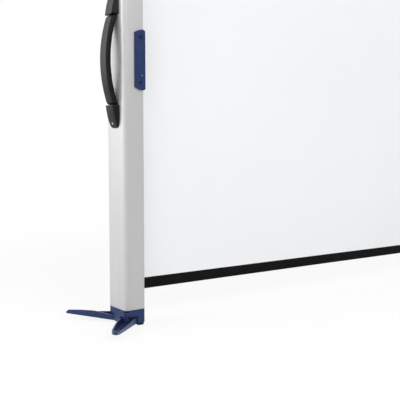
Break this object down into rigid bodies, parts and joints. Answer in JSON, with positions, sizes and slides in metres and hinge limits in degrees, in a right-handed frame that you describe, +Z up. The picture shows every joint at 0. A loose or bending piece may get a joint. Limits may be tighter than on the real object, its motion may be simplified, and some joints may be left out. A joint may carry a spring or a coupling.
{
  "type": "tabletop projection screen",
  "caption": "Tabletop projection screen: a white sheet pulls sideways from a sprung roller in an upright case to a matching post; blue end caps, folding tray legs, side carry handle.",
  "frame": {"origin": "on the table, midway between the two posts and midway front to back", "axes": "+X from the case to the pull post, the way the sheet pulls out; +Z up; viewers stand at -Y"},
  "size_m": [1.2076, 0.1896, 0.9015],
  "materials": {
    "satin_aluminium": "satin anodised",
    "blue_plastic": "fine moulded satin",
    "black_rubber": "soft satin",
    "white_sheet": "matt white, black borders",
    "grey_felt": "felt",
    "zinc_steel": "zinc plated",
    "black_steel": "black oxide",
    "pale_nylon": "natural nylon"
  },
  "bodies": {
    "case": {"case_extrusion": "satin_aluminium", "case_foot": "blue_plastic", "case_top_cap": "blue_plastic", "case_foot_pad_front": "black_rubber", "case_foot_pad_middle": "black_rubber", "case_foot_pad_rear": "black_rubber", "case_leg_pin_front": "zinc_steel", "case_leg_pin_rear": "zinc_steel", "case_cap_screw_lower": "zinc_steel", "case_cap_screw_upper": "zinc_steel", "slot_felt_front": "grey_felt", "slot_felt_rear": "grey_felt", "bottom_bush": "pale_nylon", "spring_shaft": "zinc_steel", "spring_collar": "zinc_steel", "brake_disc": "zinc_steel", "torsion_spring": "zinc_steel", "handle_strap": "black_rubber", "handle_boot_lower": "black_rubber", "handle_boot_upper": "black_rubber", "handle_screw_lower": "zinc_steel", "handle_screw_upper": "zinc_steel", "catch_plate": "blue_plastic", "catch_stud": "blue_plastic", "catch_screw_lower": "black_steel", "catch_screw_upper": "black_steel", "screen_fabric": "white_sheet"},
    "roller": {"roller_tube": "satin_aluminium", "fabric_wraps": "white_sheet", "roller_lower_plug": "pale_nylon", "roller_upper_plug": "pale_nylon", "spring_anchor": "pale_nylon", "brake_felt": "grey_felt"},
    "pull_post": {"post_extrusion": "satin_aluminium", "post_foot": "blue_plastic", "post_top_cap": "blue_plastic", "post_foot_pad_front": "black_rubber", "post_foot_pad_middle": "black_rubber", "post_foot_pad_rear": "black_rubber", "post_leg_pin_front": "zinc_steel", "post_leg_pin_rear": "zinc_steel", "post_cap_screw_lower": "zinc_steel", "post_cap_screw_upper": "zinc_steel", "sheet_edge_rod": "satin_aluminium", "latch_plate": "blue_plastic", "latch_pivot": "zinc_steel", "latch_screw_lower": "black_steel", "latch_screw_upper": "black_steel"},
    "latch": {"latch_lever": "blue_plastic"},
    "case_leg_front_body": {"case_leg_front": "blue_plastic", "case_leg_pad_front": "black_rubber"},
    "case_leg_rear_body": {"case_leg_rear": "blue_plastic", "case_leg_pad_rear": "black_rubber"},
    "post_leg_front_body": {"post_leg_front": "blue_plastic", "post_leg_pad_front": "black_rubber"},
    "post_leg_rear_body": {"post_leg_rear": "blue_plastic", "post_leg_pad_rear": "black_rubber"}
  },
  "joints": [
    {"name": "screen_pull", "type": "slide", "parent": "case", "child": "pull_post", "axis": [1, 0, 0], "range_m": [-1.01, 0], "deforming": ["screen_fabric"]},
    {"name": "roller_spin", "type": "hinge", "parent": "case", "child": "roller", "pos_m": [-0.528, 0.0116, 0.458], "axis": [0, 0, 1], "range_deg": [-5220, 0]},
    {"name": "latch_swing", "type": "hinge", "parent": "pull_post", "child": "latch", "pos_m": [0.522, -0.03445, 0.431], "axis": [0, 1, 0], "range_deg": [0, 90]},
    {"name": "case_leg_front_fold", "type": "hinge", "parent": "case", "child": "case_leg_front_body", "pos_m": [-0.54177, -0.02466, 0.0225], "axis": [-0.7337, 0.6794, 0], "range_deg": [-5.8, 86]},
    {"name": "case_leg_rear_fold", "type": "hinge", "parent": "case", "child": "case_leg_rear_body", "pos_m": [-0.54177, 0.02466, 0.0225], "axis": [0.7337, 0.6794, 0], "range_deg": [-5.8, 86]},
    {"name": "post_leg_front_fold", "type": "hinge", "parent": "pull_post", "child": "post_leg_front_body", "pos_m": [0.54177, -0.02466, 0.0225], "axis": [-0.7337, -0.6794, 0], "range_deg": [-5.8, 86]},
    {"name": "post_leg_rear_fold", "type": "hinge", "parent": "pull_post", "child": "post_leg_rear_body", "pos_m": [0.54177, 0.02466, 0.0225], "axis": [0.7337, -0.6794, 0], "range_deg": [-5.8, 86]}
  ],
  "couplings": [
    {"joint": "roller_spin", "follows": "screen_pull", "rad_per_m": 90.09}
  ]
}
